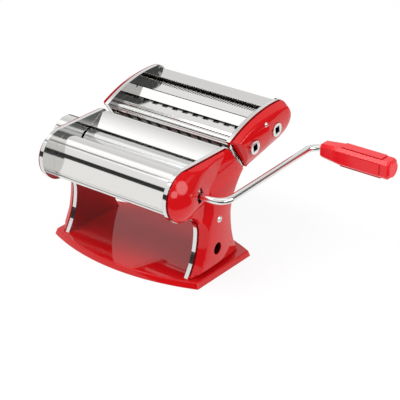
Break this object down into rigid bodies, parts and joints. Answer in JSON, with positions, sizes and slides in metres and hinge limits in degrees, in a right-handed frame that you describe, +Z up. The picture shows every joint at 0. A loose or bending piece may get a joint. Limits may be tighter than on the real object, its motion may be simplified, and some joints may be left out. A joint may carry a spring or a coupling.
{
  "type": "pasta roller machine",
  "caption": "Hand-cranked pasta roller machine: smooth rollers between red pressed sides, a thickness knob, a crank with a turning grip and a lift-off cutter head.",
  "frame": {"origin": "on the table, under the middle of the base", "axes": "+X along the rollers to the crank, +Y to the cutter head, +Z up from the table"},
  "size_m": [0.3316, 0.2058, 0.1507],
  "materials": {
    "red_paint": "gloss red enamel",
    "chrome": "polished chrome plate",
    "satin_steel": "satin, fine lines along the rollers",
    "roller_steel": "ground smooth",
    "cutter_steel": "turned",
    "machine_steel": "plain machined steel",
    "bush_bronze": "plain bearing bronze",
    "grip_plastic": "gloss red",
    "cap_plastic": "gloss red"
  },
  "bodies": {
    "frame": {"base_plate": "red_paint", "left_inner_plate": "chrome", "right_inner_plate": "chrome", "left_side_cover": "red_paint", "right_side_cover": "red_paint", "front_cover": "satin_steel", "rear_cover": "satin_steel", "front_scraper": "satin_steel", "rear_scraper": "satin_steel", "tie_rods": "chrome", "side_screws": "chrome", "base_screws": "machine_steel", "plate_bushes": "bush_bronze", "index_plate": "chrome", "gear_bracket": "machine_steel", "cutter_pins": "machine_steel"},
    "drive": {"front_roller": "roller_steel", "front_roller_gear": "machine_steel"},
    "crank": {"crank_rod": "chrome"},
    "grip": {"crank_grip": "grip_plastic", "grip_end_cap": "grip_plastic"},
    "roller_carrier": {"rear_roller_bushes": "bush_bronze"},
    "rear": {"rear_roller": "roller_steel", "rear_roller_gear": "machine_steel"},
    "thickness": {"thickness_shaft": "machine_steel", "knob_nut": "machine_steel", "knob_spring": "machine_steel"},
    "knob": {"thickness_knob": "chrome", "knob_pin": "machine_steel", "knob_cap": "cap_plastic"},
    "cutter": {"cutter_left_plate": "chrome", "cutter_right_plate": "chrome", "cutter_left_cover": "red_paint", "cutter_right_cover": "red_paint", "cutter_front_tray": "satin_steel", "cutter_mid_cover": "satin_steel", "cutter_rear_cover": "satin_steel", "cutter_front_rail": "chrome", "cutter_tie_rods": "chrome", "cutter_screws": "chrome", "cutter_bushes": "bush_bronze", "cutter_hooks": "chrome", "wide_combs": "satin_steel", "fine_combs": "satin_steel"},
    "wide_drive": {"wide_drive_roller": "cutter_steel", "wide_drive_gear": "machine_steel", "wide_crank_socket": "chrome"},
    "wide_mate": {"wide_mate_roller": "cutter_steel", "wide_mate_gear": "machine_steel"},
    "fine_drive": {"fine_drive_roller": "cutter_steel", "fine_drive_gear": "machine_steel", "fine_crank_socket": "chrome"},
    "fine_mate": {"fine_mate_roller": "cutter_steel", "fine_mate_gear": "machine_steel"}
  },
  "joints": [
    {"name": "roller_spin", "type": "hinge", "parent": "frame", "child": "drive", "pos_m": [0, -0.036, 0.1], "axis": [1, 0, 0], "continuous": true},
    {"name": "crank_pull", "type": "slide", "parent": "drive", "child": "crank", "axis": [1, 0, 0], "range_m": [0, 0.03]},
    {"name": "grip_spin", "type": "hinge", "parent": "crank", "child": "grip", "pos_m": [0, 0.1199, 0.10544], "axis": [1, 0, 0], "continuous": true},
    {"name": "thickness_turn", "type": "hinge", "parent": "frame", "child": "thickness", "pos_m": [0, -0.0048, 0.09917], "axis": [1, 0, 0], "range_deg": [0, 144]},
    {"name": "knob_pull", "type": "slide", "parent": "thickness", "child": "knob", "axis": [-1, 0, 0], "range_m": [0, 0.004], "stiffness_N_per_m": 800, "deforming": ["knob_spring"]},
    {"name": "roller_gap", "type": "slide", "parent": "frame", "child": "roller_carrier", "axis": [0, -1, 0], "range_m": [0, 0.0024]},
    {"name": "rear_roller_spin", "type": "hinge", "parent": "roller_carrier", "child": "rear", "pos_m": [0, -0.0036, 0.1], "axis": [1, 0, 0], "continuous": true},
    {"name": "cutter_lift", "type": "slide", "parent": "frame", "child": "cutter", "axis": [0, 0, 1], "range_m": [0, 0.06]},
    {"name": "wide_cutter_spin", "type": "hinge", "parent": "cutter", "child": "wide_drive", "pos_m": [0, 0.053, 0.1198], "axis": [1, 0, 0], "continuous": true},
    {"name": "wide_mate_spin", "type": "hinge", "parent": "cutter", "child": "wide_mate", "pos_m": [0, 0.07027, 0.1226], "axis": [1, 0, 0], "continuous": true},
    {"name": "fine_cutter_spin", "type": "hinge", "parent": "cutter", "child": "fine_drive", "pos_m": [0, 0.0913, 0.126], "axis": [1, 0, 0], "continuous": true},
    {"name": "fine_mate_spin", "type": "hinge", "parent": "cutter", "child": "fine_mate", "pos_m": [0, 0.10858, 0.1288], "axis": [1, 0, 0], "continuous": true}
  ],
  "couplings": [
    {"joint": "thickness_turn", "follows": "roller_gap", "rad_per_m": 1047.2},
    {"joint": "rear_roller_spin", "follows": "roller_spin", "ratio": -1},
    {"joint": "wide_mate_spin", "follows": "wide_cutter_spin", "ratio": -1},
    {"joint": "fine_mate_spin", "follows": "fine_cutter_spin", "ratio": -1}
  ]
}
